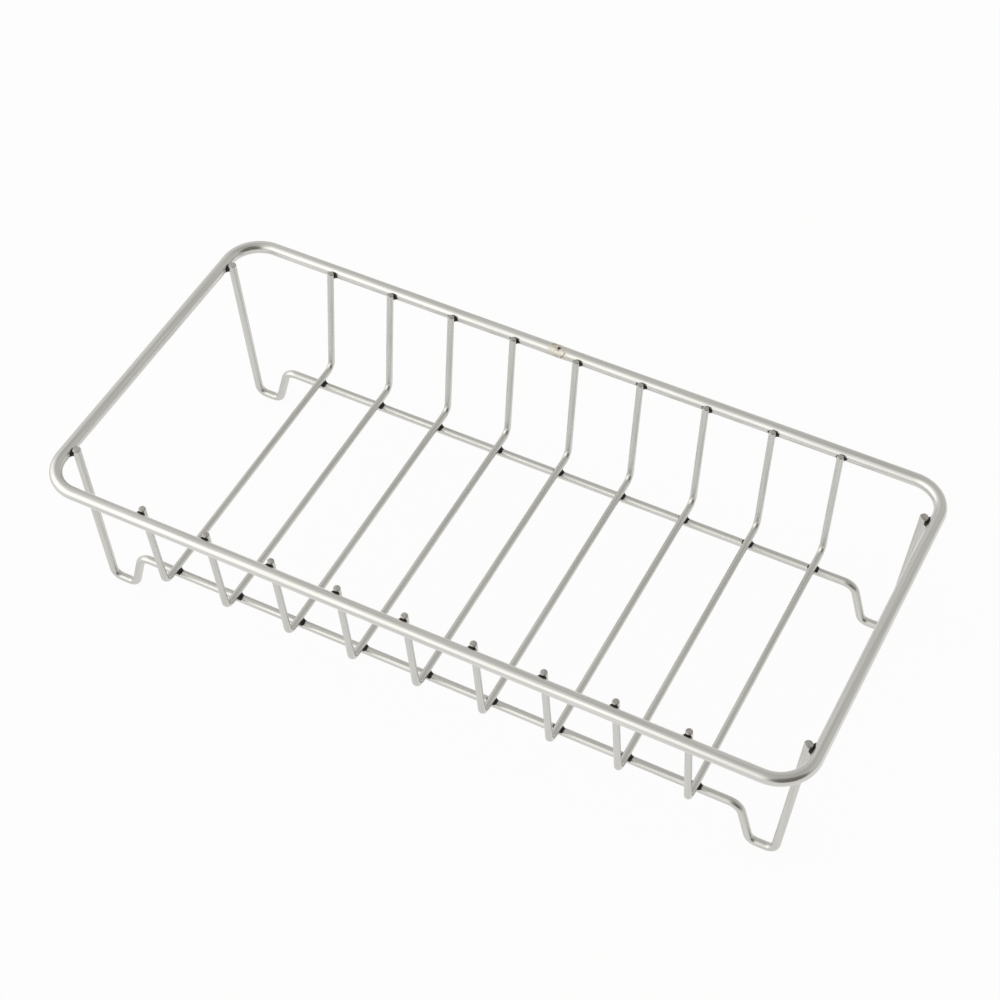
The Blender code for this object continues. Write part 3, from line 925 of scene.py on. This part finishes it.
class BASKET_OT_stage(bpy.types.Operator):
    """Make the floor, the room, the soft light and the camera"""

    bl_idname = "basket.stage"
    bl_label = "Stage"

    def execute(self, context):
        stage = context.scene.basket_stage
        self.add_floor(context.scene, stage)
        self.add_room(context.scene, stage)
        self.add_lamp(context.scene, stage)
        self.add_camera(context.scene, stage)
        context.scene.view_settings.view_transform = "Standard"
        return {"FINISHED"}

    def add_floor(self, scene, stage):
        """A matt white sweep. Seen directly or in the steel, it is close to plain white."""
        half = FLOOR_HALF_SIZE
        corners = [(-half, -half, 0), (half, -half, 0), (half, half, 0), (-half, half, 0)]
        data = bpy.data.meshes.new("floor")
        data.from_pydata(corners, [], [(0, 1, 2, 3)])
        material, tree, shader = new_material("white_sweep")
        shader.inputs["Base Color"].default_value = (*stage.floor, 1)
        shader.inputs["Roughness"].default_value = 0.9
        shader.inputs["Specular IOR Level"].default_value = 0
        rays = add_node(tree, "ShaderNodeLightPath").node.outputs
        either = {"operation": "MAXIMUM"}
        camera, glossy, through = (rays[f"Is {kind} Ray"] for kind in ("Camera", "Glossy", "Transmission"))
        seen = add_node(tree, "ShaderNodeMath", either, _0=camera, _1=glossy)
        seen = add_node(tree, "ShaderNodeMath", either, _0=seen, _1=through)
        glow = add_node(tree, "ShaderNodeMath", {"operation": "MULTIPLY"}, _0=seen, _1=stage.floor_glow)
        white = add_node(tree, "ShaderNodeEmission", Color=(1, 1, 1, 1), Strength=1)
        mixed = add_node(tree, "ShaderNodeMixShader", _0=glow, _1=shader.outputs[0], _2=white)
        tree.links.new(mixed, tree.nodes["Material Output"].inputs["Surface"])
        data.materials.append(material)
        floor = bpy.data.objects.new("floor", data)
        scene.collection.objects.link(floor)

    def add_room(self, scene, stage):
        """Pale walls and a dimmer ceiling, with one side softly lit and one that no light reaches."""
        world = bpy.data.worlds.new("pale_room")
        scene.world = world
        world.use_nodes = True
        tree = world.node_tree
        background = tree.nodes["Background"]
        direction = add_node(tree, "ShaderNodeTexCoord").node.outputs["Generated"]
        height = add_node(tree, "ShaderNodeSeparateXYZ", _0=direction).node.outputs["Z"]
        smooth = {"interpolation_type": "SMOOTHSTEP"}
        raised = add_node(tree, "ShaderNodeMapRange", smooth, Value=height, _1=WALL_TOP, _2=CEILING_START)
        as_colour = {"data_type": "RGBA"}
        low, high = (*stage.walls, 1), (*stage.ceiling, 1)
        walls = add_node(tree, "ShaderNodeMix", as_colour, _0=raised, _6=low, _7=high).node.outputs[2]
        along = {"operation": "DOT_PRODUCT"}
        dim_way = toward(DIM_AZIMUTH, DIM_ELEVATION)
        dim = add_node(tree, "ShaderNodeVectorMath", along, _0=direction, _1=dim_way).node.outputs["Value"]
        far, near = (math.cos(reach) for reach in DIM_REACH)
        dim = add_node(tree, "ShaderNodeMapRange", smooth, Value=dim, _1=far, _2=near)
        dark = (*stage.dim_side, 1)
        tone = add_node(tree, "ShaderNodeMix", as_colour, _0=dim, _6=walls, _7=dark).node.outputs[2]
        tree.links.new(tone, background.inputs["Color"])
        window_way = toward(WINDOW_AZIMUTH, WINDOW_ELEVATION)
        lit = add_node(tree, "ShaderNodeVectorMath", along, _0=direction, _1=window_way).node.outputs["Value"]
        lit = add_node(tree, "ShaderNodeMath", {"operation": "MAXIMUM"}, _0=lit, _1=0.0)
        lit = add_node(tree, "ShaderNodeMath", {"operation": "POWER"}, _0=lit, _1=WINDOW_FALLOFF)
        more = stage.window_strength - 1
        strength = add_node(tree, "ShaderNodeMath", {"operation": "MULTIPLY_ADD"}, _0=lit, _1=more, _2=1.0)
        tree.links.new(strength, background.inputs["Strength"])

    def add_lamp(self, scene, stage):
        data = bpy.data.lights.new("soft_light", "AREA")
        data.shape = "RECTANGLE"
        data.size = LAMP_WIDTH
        data.size_y = LAMP_HEIGHT
        data.energy = stage.lamp_strength
        lamp = bpy.data.objects.new("soft_light", data)
        way = toward(LAMP_AZIMUTH, LAMP_ELEVATION)
        lamp.location = way * LAMP_DISTANCE
        lamp.rotation_euler = (-way).to_track_quat("-Z", "Y").to_euler()
        lamp.visible_camera = False
        scene.collection.objects.link(lamp)

    def add_camera(self, scene, stage):
        data = bpy.data.cameras.new("camera")
        data.sensor_width = SENSOR_WIDTH_MM
        data.lens = stage.camera_lens * MM_PER_METRE
        camera = bpy.data.objects.new("camera", data)
        turned = Matrix.Rotation(CAMERA_AZIMUTH, 4, "Z")
        turned = turned @ Matrix.Rotation(QUARTER_TURN - CAMERA_ELEVATION, 4, "X")
        turned = turned @ Matrix.Rotation(CAMERA_ROLL, 4, "Z")
        back = toward(CAMERA_AZIMUTH, CAMERA_ELEVATION)
        camera.matrix_world = Matrix.Translation(CAMERA_TARGET + back * stage.camera_distance) @ turned
        scene.collection.objects.link(camera)
        scene.camera = camera


class BASKET_PT_panel(bpy.types.Panel):
    """Sizes, colours and pieces of the soap basket"""

    bl_label = "Soap Basket"
    bl_space_type = "VIEW_3D"
    bl_region_type = "UI"
    bl_category = "Basket"

    def draw(self, context):
        for operator in OPERATORS:
            self.layout.operator(operator.bl_idname)
        for group in (context.scene.basket_shape, context.scene.basket_finish, context.scene.basket_stage):
            box = self.layout.box()
            for name in group.__annotations__:
                box.prop(group, name)


OPERATORS = (
    BASKET_OT_stage,
    BASKET_OT_rim,
    BASKET_OT_rim_seam,
    BASKET_OT_ribs,
    BASKET_OT_runners,
    BASKET_OT_weld_collars,
)
GROUPS = {"basket_shape": BasketShape, "basket_finish": BasketFinish, "basket_stage": BasketStage}


def register():
    for group in GROUPS.values():
        bpy.utils.register_class(group)
    for name, group in GROUPS.items():
        setattr(bpy.types.Scene, name, PointerProperty(type=group))
    for operator in OPERATORS:
        bpy.utils.register_class(operator)
    bpy.utils.register_class(BASKET_PT_panel)


def unregister():
    bpy.utils.unregister_class(BASKET_PT_panel)
    for operator in reversed(OPERATORS):
        bpy.utils.unregister_class(operator)
    for name in GROUPS:
        delattr(bpy.types.Scene, name)
    for group in reversed(GROUPS.values()):
        bpy.utils.unregister_class(group)


def main():
    register()
    bpy.ops.basket.stage()
    bpy.ops.basket.rim()
    bpy.ops.basket.rim_seam()
    bpy.ops.basket.ribs()
    bpy.ops.basket.runners()
    bpy.ops.basket.weld_collars()


if __name__ == "__main__":
    main()
